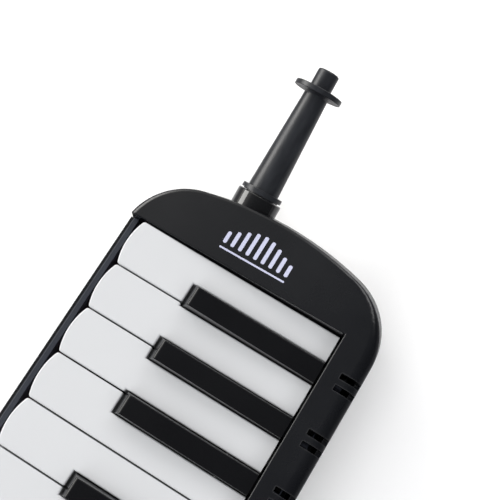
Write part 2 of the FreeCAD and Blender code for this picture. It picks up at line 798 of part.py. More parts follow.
def build_front_rail():
    """The rail in front of the keys, with the ledge that the key stop felt lies on."""
    body = doc.addObject("PartDesign::Body", "rail_body")
    ledge_bottom = "rail_ledge - ledge_thickness"
    inside = "case_front + case_wall + 0.5"
    profile = [("rail_front", "part_level + 0.2"), (inside, "part_level + 0.2"),
               (inside, ledge_bottom), ("ledge_depth", ledge_bottom), ("ledge_depth", "rail_ledge"),
               ("rail_back", "rail_ledge"), ("rail_back", "rail_top"),
               ("rail_front + 0.5", "rail_top"), ("rail_front", "rail_top - 0.5")]
    side = body_sketch(body, "rail_side", "YZ_Plane", "- opening_gap + 0.2", profile)
    pad(body, "rail", side, f"{keyboard_end} + 2 * opening_gap - 0.4")
    bosses = [rod(f"rail_boss_{number}", "z", (*spot, "rail_boss_top"),
                  f"{ledge_bottom} - rail_boss_top", "boss_radius - 0.8")
              for number, spot in enumerate(rail_bosses)]
    pilots = [rod(f"rail_pilot_{number}", "z", (*spot, rail_seat), "screw_length", "screw_radius")
              for number, spot in enumerate(rail_bosses)]
    piece("front_rail", cut("rail_drilled", fuse("rail_joined", [body, *bosses]),
                            group("rail_pilots", pilots)))
    felt = box("felt", (0.5, f"{keyboard_end} - 0.5"), ("rail_back + 0.3", "ledge_depth - 0.5"),
               ("rail_ledge", "rail_ledge + felt_thickness"))
    piece("key_stop_felt", group("felt_set", [felt]))


def screw(name, axis, seat, length, radius, head_radius, head_height, backwards=False):
    """A screw that starts at its head's seat and runs along an axis, or against it."""
    index = "xyz".index(axis)
    shank_start, head_start = list(seat), list(seat)
    if backwards:
        shank_start[index] = f"{seat[index]} - {length}"
    else:
        head_start[index] = f"{seat[index]} - {head_height}"
    return fuse(name, [rod(f"{name}_shank", axis, shank_start, length, radius),
                       rod(f"{name}_head", axis, head_start, head_height, head_radius)])


def build_case_screws():
    spots = [(*spot, cap_seat) for spot in cap_bosses] + [(*spot, rail_seat) for spot in rail_bosses]
    slots = [box(f"screw_slot_{number}", (f"{x} - 2", f"{x} + 2"), (f"{y} - 0.35", f"{y} + 0.35"),
                 (f"{z} - screw_head_height - 1", f"{z} - screw_head_height + 1"))
             for number, (x, y, z) in enumerate(spots)]
    solids = [screw(f"case_screw_{number}", "z", spot, "screw_length", "screw_radius",
                    "screw_head_radius", "screw_head_height") for number, spot in enumerate(spots)]
    piece("case_screws", cut("slotted_screws", group("plain_screws", solids),
                             group("screw_slots", slots)))


# ---------------------------------------------------------------- air chamber

chamber_left = "- chamber_overhang"
chamber_right = f"{keyboard_end} + chamber_overhang"
cover_top = "chamber_split - gasket_thickness"
plate_bottom = "chamber_split - plate_thickness"
lugs = [(f"{share} * key_pitch", "chamber_front - lug_size / 2") for share in (1, 5, 9.5, 14, 18)]
lugs += [(f"{chamber_left} - lug_size / 2", "73"), (f"{chamber_right} + lug_size / 2", "73")]
half_way_note = len(keys) // 2


def share_along(note, longest, shortest):
    """A length that falls evenly from the lowest note to the highest."""
    return f"({longest} - ({longest} - {shortest}) * {note} / {last_note})"


def plate_screw_spots():
    """Four screws along the front of each reed plate, and one at the outer end of its back."""
    spots = []
    for first in (0, half_way_note):
        spots += [(between(first + step), "chamber_front + chamber_wall + 2.6")
                  for step in (1, 5, 9, 13)]
    spots += [("-2.6", "90"), (f"{keyboard_end} + 2.6", "90")]
    return [(x, y, plate_bottom) for x, y in spots]


def comb_screw_spots():
    return [(between(note), "chamber_rear + spring_thickness", "chamber_top - 4")
            for note in (1, 8, 15, 22, 29)]


def shanks(name, spots, axis, length, radius, backwards=False):
    rods = []
    for number, spot in enumerate(spots):
        start = list(spot)
        if backwards:
            start[1] = f"{spot[1]} - {length}"
        rods.append(rod(f"{name}_{number}", axis, start, length, radius))
    return rods


def lug_boxes(name, low, high):
    return [box(f"{name}_{number}", (f"{x} - lug_size / 2", f"{x} + lug_size / 2"),
                (f"{y} - lug_size / 2", f"{y} + lug_size / 2"), (low, high))
            for number, (x, y) in enumerate(lugs)]


def small_screw_holes(name):
    length, radius = "small_screw_length", "small_screw_radius"
    return (shanks(f"{name}_plate", plate_screw_spots(), "z", length, radius)
            + shanks(f"{name}_comb", comb_screw_spots(), "y", length, radius, backwards=True))


def cover_screw_spots():
    return [(x, y, f"{cover_top} - lug_height") for x, y in lugs]


def build_air_chamber():
    """The cell block: one cell and one vent for each note, and towers that carry the key axle."""
    block = box("block", (chamber_left, chamber_right), ("chamber_front", "chamber_rear"),
                ("chamber_split", "chamber_top"))
    towers = []
    seats = ["-3.5", f"{keyboard_end} + 3.5"]
    seats += [between(note) for note in range(NOTES_PER_AXLE_TOWER - 1, last_note,
                                              NOTES_PER_AXLE_TOWER)]
    for number, seat in enumerate(seats):
        towers.append(box(f"tower_{number}",
                          (f"{seat} - tower_thickness / 2", f"{seat} + tower_thickness / 2"),
                          ("pivot_back - 3", "pivot_back + 3"),
                          ("chamber_top", "- pivot_drop + axle_radius + 1.1")))
    solid = fuse("block_joined", [block, *towers, *lug_boxes("block_lug", "chamber_split",
                                                             "chamber_split + lug_height")])
    holes = small_screw_holes("block")
    for note, centre in enumerate(levers):
        length = share_along(note, "cell_longest", "cell_shortest")
        holes.append(box(f"cell_{note}", (f"{centre} - cell_width / 2", f"{centre} + cell_width / 2"),
                         (f"cell_rear - {length}", "cell_rear"),
                         ("chamber_split - 1", "chamber_top - chamber_wall")))
        holes.append(box(f"vent_{note}", (f"{centre} - vent_width / 2", f"{centre} + vent_width / 2"),
                         (f"{foot_front} + 1.4", f"{foot_front} + 1.4 + vent_length"),
                         ("chamber_split", "chamber_top + 1")))
    holes.append(rod("axle_hole", "x", ("-12", "pivot_back", "- pivot_drop"),
                     f"{keyboard_end} + 24", "axle_radius"))
    holes += shanks("block_cover", cover_screw_spots(), "z", "cover_screw_length",
                    "cover_screw_radius")
    piece("air_chamber", cut("block_drilled", solid, group("block_holes", holes)))


def duct_port(name, low, high):
    """The way from the inlet duct into the chamber cover."""
    return box(name, (low, high), ("chamber_front + chamber_wall + 0.5", "duct_rear - 4"),
               (f"{case_floor} + chamber_wall + 0.2", f"{cover_top} - 1.4"))


def build_chamber_cover():
    wall = "chamber_wall"
    shell = box("cover_block", (chamber_left, chamber_right), ("chamber_front", "chamber_rear"),
                (case_floor, cover_top))
    joined = fuse("cover_joined", [shell, *lug_boxes("cover_lug", f"{cover_top} - lug_height",
                                                     cover_top)])
    inside = box("cover_inside", (f"{chamber_left} + {wall}", f"{chamber_right} - {wall}"),
                 (f"chamber_front + {wall}", f"chamber_rear - {wall}"),
                 (f"{case_floor} + {wall}", f"{cover_top} + 1"))
    drain = rod("drain_hole", "x", (f"{chamber_right} - {wall} - 1", "drain_back", "drain_level"),
                f"{wall} + 2", "drain_hole_radius")
    port = duct_port("cover_port", f"{chamber_left} - 1", f"{chamber_left} + {wall} + 1")
    screws = shanks("cover_hole", cover_screw_spots(), "z", "cover_screw_length",
                    "cover_screw_radius")
    piece("chamber_cover", cut("cover_cut", joined,
                               group("cover_holes", [inside, drain, port, *screws])))
    ring = box("gasket_block", (chamber_left, chamber_right), ("chamber_front", "chamber_rear"),
               (cover_top, "chamber_split"))
    eyes = lug_boxes("gasket_lug", cover_top, "chamber_split")
    middle_out = box("gasket_inside", (f"{chamber_left} + {wall}", f"{chamber_right} - {wall}"),
                     (f"chamber_front + {wall}", f"chamber_rear - {wall}"),
                     (f"{cover_top} - 1", "chamber_split + 1"))
    holes = shanks("gasket_hole", cover_screw_spots(), "z", "cover_screw_length",
                   "cover_screw_radius")
    piece("chamber_gasket", cut("gasket_cut", fuse("gasket_joined", [ring, *eyes]),
                                group("gasket_holes", [middle_out, *holes])))
    piece("cover_screws", group("cover_screw_set", [
        screw(f"cover_screw_{number}", "z", spot, "cover_screw_length", "cover_screw_radius",
              "small_head_radius + 0.2", "small_head_height")
        for number, spot in enumerate(cover_screw_spots())]))


def build_reeds():
    """Two brass reed plates with sixteen riveted tongues each, and a slot under every tongue."""
    rivets, shank_rods = [], []
    reed_bottom = f"{plate_bottom} - reed_thickness"
    for note, centre in enumerate(levers):
        spot = (centre, "reed_root + 1.8", f"{reed_bottom} - 0.4")
        shank = rod(f"rivet_shank_{note}", "z", spot, "0.4 + reed_thickness + plate_thickness",
                    "rivet_radius")
        shank_rods.append(shank)
        rivets.append(fuse(f"rivet_{note}", [shank, rod(f"rivet_head_{note}", "z", spot, 0.4,
                                                        "rivet_radius + 0.5")]))
    rivet_bores = group("rivet_bores", shank_rods)
    piece("reed_rivets", group("rivet_set", rivets))
    inset = "(chamber_wall + 0.5)"
    halves = {"bass": (f"{chamber_left} + {inset}", f"{between(half_way_note - 1)} - 0.1", 0),
              "treble": (f"{between(half_way_note - 1)} + 0.1", f"{chamber_right} - {inset}",
                         half_way_note)}
    for half, (left, right, first) in halves.items():
        plate = box(f"plate_{half}", (left, right),
                    (f"chamber_front + {inset}", f"chamber_rear - {inset}"),
                    (plate_bottom, "chamber_split"))
        tongues, holes = [], [rivet_bores]
        for note in range(first, first + half_way_note):
            length = share_along(note, "reed_longest", "reed_shortest")
            centre = levers[note]
            tongues.append(box(f"tongue_{note}",
                               (f"{centre} - reed_width / 2", f"{centre} + reed_width / 2"),
                               ("reed_root", f"reed_root + 4 + {length}"),
                               (reed_bottom, plate_bottom)))
            holes.append(box(f"reed_slot_{note}",
                             (f"{centre} - reed_width / 2 - 0.1", f"{centre} + reed_width / 2 + 0.1"),
                             ("reed_root + 4", f"reed_root + 4.2 + {length}"),
                             (f"{plate_bottom} - 1", "chamber_split + 1")))
        holes += shanks(f"{half}_screw_bore", plate_screw_spots(), "z", "small_screw_length",
                        "small_screw_radius")
        piece(f"reed_plate_{half}", cut(f"plate_{half}_cut", plate, group(f"{half}_holes", holes)))
        piece(f"reeds_{half}", cut(f"reeds_{half}_cut", group(f"{half}_tongues", tongues),
                                   rivet_bores))


def build_key_springs():
    """A spring comb on the back of the chamber. One finger presses down on each lever's arm."""
    finger_top = "- pivot_drop + 8.6"
    fingers = [box(f"finger_{note}", (f"{centre} - 2", f"{centre} + 2"),
                   ("key_rear + 3.6", "chamber_rear + spring_thickness"),
                   (f"{finger_top} - spring_thickness", finger_top))
               for note, centre in enumerate(levers)]
    strip = box("comb_strip", (-2, f"{keyboard_end} + 2"),
                ("chamber_rear", "chamber_rear + spring_thickness"),
                ("chamber_top - 7", finger_top))
    holes = shanks("comb_hole", comb_screw_spots(), "y", "small_screw_length",
                   "small_screw_radius", backwards=True)
    piece("key_springs", cut("comb_cut", fuse("comb", [strip, *fingers]),
                             group("comb_holes", holes)))
    sizes = ("small_screw_length", "small_screw_radius", "small_head_radius", "small_head_height")
    solids = [screw(f"plate_screw_{number}", "z", spot, *sizes)
              for number, spot in enumerate(plate_screw_spots())]
    solids += [screw(f"comb_screw_{number}", "y", spot, *sizes, backwards=True)
               for number, spot in enumerate(comb_screw_spots())]
    piece("small_screws", group("small_screw_set", solids))


def build_axle():
    """The axle that all the keys swing on, held by a clip in the groove at each end."""
    reach = "5.9"
    groove = "0.4"
    clip_width = 0.8
    starts = ["-5.4", f"{keyboard_end} + 5.4 - {clip_width}"]

    def ring(name, start, outer):
        solid = rod(f"{name}_disc", "x", (start, "pivot_back", "- pivot_drop"), clip_width, outer)
        hole = rod(f"{name}_eye", "x", (start, "pivot_back", "- pivot_drop"), clip_width,
                   f"axle_radius - {groove}")
        return cut(name, solid, hole)

    rod_body = rod("axle_rod", "x", (f"- {reach}", "pivot_back", "- pivot_drop"),
                   f"{keyboard_end} + 2 * {reach}", "axle_radius")
    grooves = [ring(f"groove_{number}", start, "axle_radius + 1")
               for number, start in enumerate(starts)]
    piece("key_axle", cut("axle_grooved", rod_body, group("axle_grooves", grooves)))
    piece("axle_clips", group("clip_set", [ring(f"clip_{number}", start, "axle_radius + 1.3")
                                           for number, start in enumerate(starts)]))


# ---------------------------------------------------------------- blow inlet and mouthpiece

def socket_at(place):
    """The socket's radius at a distance from the end wall, out along the inlet."""
    return f"(socket_radius - socket_taper * (collar_length - ({place})) / (collar_length + spigot_end))"


def build_inlet():
    rim, inner = "collar_length", "- spigot_end"
    retainer = "- retainer_depth - collar_radius / 2"
    retainer_end = f"{retainer} - retainer_thickness"
    outline = [(inner, socket_at(inner)), (rim, socket_at(rim)), (rim, "collar_radius - 0.3"),
               ("collar_length - 0.3", "collar_radius"), (retainer, "collar_radius"),
               (retainer, "collar_radius + retainer_step"), (retainer_end, "collar_radius + retainer_step"),
               (retainer_end, "spigot_radius"), (inner, "spigot_radius")]
    collar = turned("collar", outline)
    collar.Placement = inlet_frame()
    piece("inlet_collar", group("collar_set", [collar]))
    wall = "chamber_wall"
    left = f"{chamber_left} - duct_length"
    shell = box("duct_block", (left, chamber_left), ("duct_front", "duct_rear"),
                (case_floor, "duct_top"))
    inside = box("duct_inside", (f"{left} + {wall}", f"{chamber_left} - {wall}"),
                 (f"duct_front + {wall}", f"duct_rear - {wall}"),
                 (f"{case_floor} + {wall}", f"duct_top - {wall}"))
    port = duct_port("duct_exit", f"{chamber_left} - {wall} - 1", f"{chamber_left} + 1")
    mouth = inlet_hole("duct_mouth", "spigot_radius + collar_clearance", 17)
    piece("inlet_duct", cut("duct_cut", shell, group("duct_holes", [inside, port, mouth])))


def build_mouthpiece():
    """The short mouthpiece: a plug for the socket, a flange, a tapered tube and a lip guard."""
    flange = "collar_length + flange_gap"
    tube = f"{flange} + flange_thickness"
    guard = f"{tube} + tube_length + guard_flare"
    tip = f"{guard} + guard_thickness"
    end = f"{tip} + tip_length"
    plug_end = f"{flange} - plug_length"
    shoulder = "flange_radius - 1"
    rim = "guard_radius - guard_rounding"
    outline = [(plug_end, "bore_radius"), (end, "bore_radius"), (end, "tip_radius - tip_rounding"),
               (f"{end} - tip_rounding", "tip_radius"), (tip, "tip_radius"), (tip, rim),
               (f"{tip} - guard_rounding", "guard_radius"),
               (f"{guard} + guard_rounding", "guard_radius"), (guard, rim),
               (f"{guard} + guard_dish", "tube_tip_radius + 2.2"),
               (f"{guard} - 0.2", "tube_tip_radius + 0.7"),
               (f"{guard} - guard_flare", "tube_tip_radius"), (tube, "tube_radius"),
               (tube, "flange_radius"), (flange, "flange_radius"), (flange, shoulder),
               ("collar_length + 0.15", shoulder),
               ("collar_length + 0.15", f"{socket_at(flange)} - plug_clearance"),
               (plug_end, f"{socket_at(plug_end)} - plug_clearance")]
    body = turned("mouthpiece_body", outline, {2: "tip_rounding", 5: "guard_rounding", 7: "guard_rounding"})
    body.Placement = inlet_frame()
    piece("mouthpiece", group("mouthpiece_set", [body]))


# ---------------------------------------------------------------- drain valve

def build_drain_valve():
    """A sprung button at the far end. Pressing it lifts the seal off the chamber's drain hole."""
    wall, seat = "chamber_wall", "- chamber_wall"
    flange = "cap_length - base_end_draft - case_wall - chamber_overhang - 1.4"
    seal_end = f"{seat} - seal_thickness - 0.05"
    tip = "cap_length - base_end_draft - chamber_overhang + 0.9 + button_reach"
    outline = [(f"{seal_end} - 0.8", 0), (tip, 0), (tip, "button_radius - 1.2"),
               (f"{tip} - 1.2", "button_radius"), (f"{flange} + 1.2", "button_radius"),
               (f"{flange} + 1.2", "button_radius + 0.8"), (flange, "button_radius + 0.8"),
               (flange, "stem_radius"), (seal_end, "stem_radius"),
               (seal_end, "stem_radius + 0.6"), (f"{seal_end} - 0.8", "stem_radius + 0.6")]
    button = turned("button_body", outline, {2: 1.25})
    seal = turned("seal_body", [(seal_end, "stem_radius"), (f"{seat} - 0.05", "stem_radius"),
                                (f"{seat} - 0.05", "seal_radius"), (seal_end, "seal_radius")])
    place = FreeCAD.Placement(point(chamber_right, "drain_back", "drain_level"),
                              FreeCAD.Rotation())
    for body in (button, seal):
        body.Placement = place
    piece("drain_button", group("button_set", [button]))
    piece("drain_seal", group("seal_set", [seal]))
    helix = doc.addObject("Part::Helix", "spring_path")
    helix.setExpression("Radius", link("spring_radius"))
    helix.setExpression("Height", link(f"{flange} - 2 * wire_radius - 0.3"))
    helix.setExpression("Pitch", link(f"({flange} - 2 * wire_radius - 0.3) / spring_turns"))
    wire = doc.addObject("Part::Circle", "spring_wire")
    wire.setExpression("Radius", link("wire_radius"))
    wire.Placement = FreeCAD.Placement(point("spring_radius", 0), TURNS["y"])
    coil = doc.addObject("Part::Sweep", "spring_coil")
    coil.Sections = [wire]
    coil.Spine = (helix, ["Edge1"])
    coil.Solid = True
    coil.Frenet = True
    start = point(f"{chamber_right} + wire_radius + 0.15", "drain_back", "drain_level")
    coil.Placement = FreeCAD.Placement(start, TURNS["x"])
    piece("drain_spring", group("spring_set", [coil]))


# ---------------------------------------------------------------- underside

def build_underside():
    feet = []
    for number, (x, y) in enumerate((x, y) for x in ("20", f"{keyboard_end} - 20")
                                    for y in ("14", "80")):
        foot = doc.addObject("Part::Cone", f"foot_{number}")
        foot.setExpression("Radius1", link("foot_radius - 0.6"))
        foot.setExpression("Radius2", link("foot_radius"))
        foot.setExpression("Height", link("foot_height"))
        for axis, value in zip("xyz", (x, y, "case_bottom - foot_height")):
            foot.setExpression(f"Placement.Base.{axis}", link(value))
        feet.append(foot)
    piece("feet", group("foot_set", feet))
    half_way, middle_back = f"{keyboard_end} / 2", "(case_front + case_rear) / 2"
    strap_top = "case_bottom - strap_gap"
    strap_bottom = f"{strap_top} - strap_thickness"
    across = (f"{middle_back} - strap_width / 2", f"{middle_back} + strap_width / 2")
    strap = box("strap", (f"{half_way} - strap_length / 2", f"{half_way} + strap_length / 2"),
                across, (strap_bottom, strap_top))
    piece("hand_strap", group("strap_set", [strap]))
    plates = []
    for side in ("-", "+"):
        centre = f"{half_way} {side} (strap_length / 2 - 7)"
        plates.append(box(f"strap_plate_{len(plates)}", (f"{centre} - 6", f"{centre} + 6"),
                          (f"{across[0]} - 4", f"{across[1]} + 4"),
                          (f"{strap_bottom} - plate_height", strap_bottom)))
    piece("strap_plates", group("plate_set", plates))


# ---------------------------------------------------------------- build, place, check and write

def whole_box():
    """The box round every piece, without the slack of curved faces."""
    total = FreeCAD.BoundBox()
    for made in pieces.values():
        total.add(made.Shape.optimalBoundingBox(False, False))
    return total


def place_pieces():
    """Moves the origin under the middle of the object, on the surface that it stands on."""
    limits = whole_box()
    shift = FreeCAD.Vector(-limits.Center.x, -limits.Center.y, -limits.ZMin)
    for made in pieces.values():
        start = made.Placement.Base
        made.Placement = FreeCAD.Placement(start + shift, made.Placement.Rotation)
    doc.recompute()
    return shift


def check_pieces():
    for item in doc.Objects:
        if "Invalid" in item.State or "Error" in item.State:
            raise RuntimeError(f"{item.Name} failed: {item.State}")
    for name, made in pieces.items():
        if made.Shape.isNull() or not made.Shape.isValid() or not made.Shape.Solids:
            raise RuntimeError(f"{name} has no valid shape")


def write_pieces():
    os.makedirs("parts", exist_ok=True)
    for name, made in pieces.items():
        made.Shape.exportStep(f"parts/{name}.step")


build_upper_case()
build_lower_case()
build_front_rail()
build_case_screws()
build_air_chamber()
build_chamber_cover()
build_reeds()
build_key_springs()
build_axle()
build_inlet()
build_mouthpiece()
build_drain_valve()
build_underside()
build_keys()
doc.recompute()
shift = place_pieces()
check_pieces()
write_pieces()
print("pieces", len(pieces), "shift", [round(value, 3) for value in shift])
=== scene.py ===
import math

import bmesh
import bpy
from mathutils import Matrix, Vector


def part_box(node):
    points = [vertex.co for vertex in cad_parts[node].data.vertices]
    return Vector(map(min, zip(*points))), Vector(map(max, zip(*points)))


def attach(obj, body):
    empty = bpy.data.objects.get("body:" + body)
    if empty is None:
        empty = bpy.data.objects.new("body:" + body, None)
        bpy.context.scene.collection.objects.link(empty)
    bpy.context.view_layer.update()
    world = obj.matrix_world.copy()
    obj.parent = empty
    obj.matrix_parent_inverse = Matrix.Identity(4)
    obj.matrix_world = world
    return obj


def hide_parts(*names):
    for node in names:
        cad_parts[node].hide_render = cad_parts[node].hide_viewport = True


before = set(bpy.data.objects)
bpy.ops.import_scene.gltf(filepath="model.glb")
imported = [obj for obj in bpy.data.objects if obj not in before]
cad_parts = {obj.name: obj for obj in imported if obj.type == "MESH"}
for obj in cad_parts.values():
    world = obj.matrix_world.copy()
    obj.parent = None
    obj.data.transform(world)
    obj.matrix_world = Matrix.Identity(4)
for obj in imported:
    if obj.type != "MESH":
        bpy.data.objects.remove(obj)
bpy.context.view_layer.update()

# The keyboard's own origin (the outer front corner of the lowest key, on the white tops) in the
# frame, found from the lowest key's box, and sizes in millimetres turned into metres.
MM = 0.001
key_low, key_high = (Vector(corner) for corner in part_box("key_f_3"))
KEY_GAP = 0.55             # between two white keys
FRONT_BOW = 1.513          # how far the middle of a key's front edge stands out
KEY_REAR = 86.0            # the line where the keys go under the case
CROWN_SLOPE = 6.5 / 87.0   # rise of the end caps from front to back
ORIGIN = Vector((key_low.x - KEY_GAP / 2 * MM, key_low.y + FRONT_BOW * MM, key_high.z))


def place(x, y, z=0.0):
    """A point given in millimetres from the keyboard's origin."""
    return ORIGIN + Vector((x, y, z)) * MM


# ---------------------------------------------------------------- camera, floor and light

scene = bpy.context.scene
scene.view_settings.view_transform = "Standard"
scene.view_settings.look = "None"

camera_data = bpy.data.cameras.new("camera")
camera_data.lens = 65.56
camera_data.sensor_width = 36.0
camera_data.clip_start = 0.01
camera = bpy.data.objects.new("camera", camera_data)
scene.collection.objects.link(camera)
right = Vector((-0.5207, 0.8537, -0.0095))
down = Vector((0.8264, 0.5011, -0.2568))
ahead = Vector((-0.2145, -0.1416, -0.9664))
turn = Matrix((right, -down, -ahead)).transposed().to_4x4()
camera.matrix_world = Matrix.Translation(place(62.6, 89.0, 331.1)) @ turn
scene.camera = camera


def node(tree, kind, inputs=None, **settings):
    """A shader node with its settings and the values of its inputs."""
    made = tree.nodes.new(kind)
    for name, value in settings.items():
        setattr(made, name, value)
    for name, value in (inputs or {}).items():
        made.inputs[name].default_value = value
    return made


def ramp(tree, source, stops):
    """A colour ramp with stops of (place, grey or colour)."""
    made = node(tree, "ShaderNodeValToRGB")
    points = made.color_ramp.elements
    while len(points) < len(stops):
        points.new(0.5)
    for point, (where, colour) in zip(points, stops):
        point.position = where
        point.color = (*colour, 1) if isinstance(colour, tuple) else (colour, colour, colour, 1)
    tree.links.new(source, made.inputs["Fac"])
    return made.outputs["Color"]


# A dim room with one broad bright side, in front of the keyboard.
world = bpy.data.worlds.new("studio")
scene.world = world
world.use_nodes = True
sky = world.node_tree
backdrop = sky.nodes["Background"]
direction = node(sky, "ShaderNodeTexCoord")
facing = node(sky, "ShaderNodeVectorMath", operation="DOT_PRODUCT")
bright_side = Vector((-0.45, -0.85, 0.10)).normalized()
facing.inputs[1].default_value = bright_side
sky.links.new(direction.outputs["Generated"], facing.inputs[0])
half = node(sky, "ShaderNodeMath", {0: 0.0, 1: 0.5, 2: 0.5}, operation="MULTIPLY_ADD")
sky.links.new(facing.outputs["Value"], half.inputs[0])
sky_colour = ramp(sky, half.outputs[0], [
    (0.0, (0.06, 0.063, 0.072)), (0.5, (0.10, 0.104, 0.118)),
    (0.68, (0.20, 0.205, 0.225)), (0.95, (1.3, 1.28, 1.24)),
])
# Where the view looks past the floor, it sees a plain pale backdrop.
looked_at = node(sky, "ShaderNodeLightPath")
seen = node(sky, "ShaderNodeMix", data_type="RGBA")
seen.inputs["B"].default_value = (0.62, 0.63, 0.65, 1)
sky.links.new(looked_at.outputs["Is Camera Ray"], seen.inputs["Factor"])
sky.links.new(sky_colour, seen.inputs["A"])
sky.links.new(seen.outputs["Result"], backdrop.inputs["Color"])
backdrop.inputs["Strength"].default_value = 1.0


def area_light(name, where, size, watts, colour=(1, 1, 1), seen_in_gloss=True):
    """A rectangular light aimed at the middle of the low end of the keyboard."""
    data = bpy.data.lights.new(name, "AREA")
    data.shape = "RECTANGLE"
    data.size, data.size_y = size
    data.energy = watts
    data.color = colour
    light = bpy.data.objects.new(name, data)
    light.visible_glossy = seen_in_gloss
    light.location = where
    light.rotation_euler = (AIM - light.location).to_track_quat("-Z", "Y").to_euler()
    scene.collection.objects.link(light)


AIM = place(60, 50)
area_light("key_light", place(-760, 260, 540), (0.55, 0.55), 3.2, (1.0, 0.995, 0.985))
area_light("front_softbox", place(-60, -640, 300), (0.9, 0.35), 5.6, (1.0, 0.985, 0.96))
area_light("rear_light", place(140, 660, 560), (0.7, 0.4), 2.1, seen_in_gloss=False)
area_light("right_fill", place(700, -100, 520), (0.7, 0.7), 3.0, seen_in_gloss=False)
area_light("top_fill", place(60, 40, 760), (0.6, 0.6), 2.4, seen_in_gloss=False)

# ---------------------------------------------------------------- materials

BROAD_SCALE = 22.0       # noise cells per metre of the drifting tint
COAT_ROUGHNESS = 0.08
EDGE_WIDTH = 0.7 * MM    # how far the rubbed edges and their painted highlight reach
GRAIN_DEPTH = 0.2 * MM
WAVE_PER_METRE = 0.314   # scale of a wave whose pitch is one metre


def finish(name, colour, roughness, grain=0.02, grain_scale=900.0, mottle=0.12, coat=0.0,
           metallic=0.0, wear_and_highlight=0.0, sheen=0.0, specular=0.5, roughness_spread=0.08, streaks=None,
           lever_painted_shade=None, weave=None):
    """A moulded or metal surface: colour that drifts a little, a roughness that varies with it, a
    fine grain in the bump, and edges a shade lighter, partly rubbed wear and partly a painted
    highlight. The colour given for the lever is painted shade on the part behind the keys' rear
    edge, which is hidden in the shadow of the case. A weave is the pitch of the ribs that cross in
    the bump of a woven band."""
    made = bpy.data.materials.new(name)
    made.use_nodes = True
    tree = made.node_tree
    shader = tree.nodes["Principled BSDF"]
    shader.inputs["Metallic"].default_value = metallic
    shader.inputs["Coat Weight"].default_value = coat
    shader.inputs["Coat Roughness"].default_value = COAT_ROUGHNESS
    shader.inputs["Specular IOR Level"].default_value = specular
    shader.inputs["Sheen Weight"].default_value = sheen
    where = node(tree, "ShaderNodeTexCoord")
    spread = node(tree, "ShaderNodeMapping")
    spread.inputs["Scale"].default_value = streaks or (1.0, 1.0, 1.0)
    tree.links.new(where.outputs["Object"], spread.inputs["Vector"])
    broad = node(tree, "ShaderNodeTexNoise", {"Scale": BROAD_SCALE, "Detail": 5.0, "Roughness": 0.6})
    fine = node(tree, "ShaderNodeTexNoise", {"Scale": grain_scale, "Detail": 3.0})
    tree.links.new(spread.outputs["Vector"], broad.inputs["Vector"])
    tree.links.new(spread.outputs["Vector"], fine.inputs["Vector"])
    dark = tuple(value * (1 - mottle) for value in colour)
    light = tuple(min(1.0, value * (1 + mottle)) for value in colour)
    tint = ramp(tree, broad.outputs["Fac"], [(0.3, dark), (0.7, light)])
    # Lighter edges: partly rubbed wear, partly a painted highlight for light caught on the rims.
    if wear_and_highlight:
        edge = node(tree, "ShaderNodeBevel", samples=4)
        edge.inputs["Radius"].default_value = EDGE_WIDTH
        surface = node(tree, "ShaderNodeNewGeometry")
        turned = node(tree, "ShaderNodeVectorMath", operation="DOT_PRODUCT")
        tree.links.new(edge.outputs["Normal"], turned.inputs[0])
        tree.links.new(surface.outputs["Normal"], turned.inputs[1])
        rubbed_and_highlit = ramp(tree, turned.outputs["Value"], [(0.75, wear_and_highlight), (0.985, 0.0)])
        blend = node(tree, "ShaderNodeMix", data_type="RGBA")
        worn_and_highlit = tuple(min(1.0, value * 1.5 + 0.05 * wear_and_highlight) for value in colour)
        blend.inputs["B"].default_value = (*worn_and_highlit, 1)
        tree.links.new(rubbed_and_highlit, blend.inputs["Factor"])
        tree.links.new(tint, blend.inputs["A"])
        tint = blend.outputs["Result"]
    # Painted shade: behind the keys' rear edge the lever is coloured dark, standing in for the
    # shadow inside the case.
    if lever_painted_shade:
        axes = node(tree, "ShaderNodeSeparateXYZ")
        behind = node(tree, "ShaderNodeMath", {1: place(0, KEY_REAR + 0.2).y},
                      operation="GREATER_THAN")
        painted_shade_mix = node(tree, "ShaderNodeMix", data_type="RGBA")
        painted_shade_mix.inputs["B"].default_value = (*lever_painted_shade, 1)
        tree.links.new(where.outputs["Object"], axes.inputs[0])
        tree.links.new(axes.outputs["Y"], behind.inputs[0])
        tree.links.new(behind.outputs[0], painted_shade_mix.inputs["Factor"])
        tree.links.new(tint, painted_shade_mix.inputs["A"])
        tint = painted_shade_mix.outputs["Result"]
    tree.links.new(tint, shader.inputs["Base Color"])
    gloss = ramp(tree, broad.outputs["Fac"], [(0.25, max(0.02, roughness - roughness_spread)),
                                              (0.75, roughness + roughness_spread)])
    tree.links.new(gloss, shader.inputs["Roughness"])
    bump = node(tree, "ShaderNodeBump", {"Strength": grain, "Distance": GRAIN_DEPTH})
    height = fine.outputs["Fac"]
    if weave:
        for axis in "XY":
            ribs = node(tree, "ShaderNodeTexWave", {"Scale": WAVE_PER_METRE / weave},
                        bands_direction=axis, wave_profile="SIN")
            crossed = node(tree, "ShaderNodeMath", operation="ADD")
            tree.links.new(where.outputs["Object"], ribs.inputs["Vector"])
            tree.links.new(ribs.outputs["Fac"], crossed.inputs[0])
            tree.links.new(height, crossed.inputs[1])
            height = crossed.outputs[0]
    tree.links.new(height, bump.inputs["Height"])
    tree.links.new(bump.outputs["Normal"], shader.inputs["Normal"])
    return made


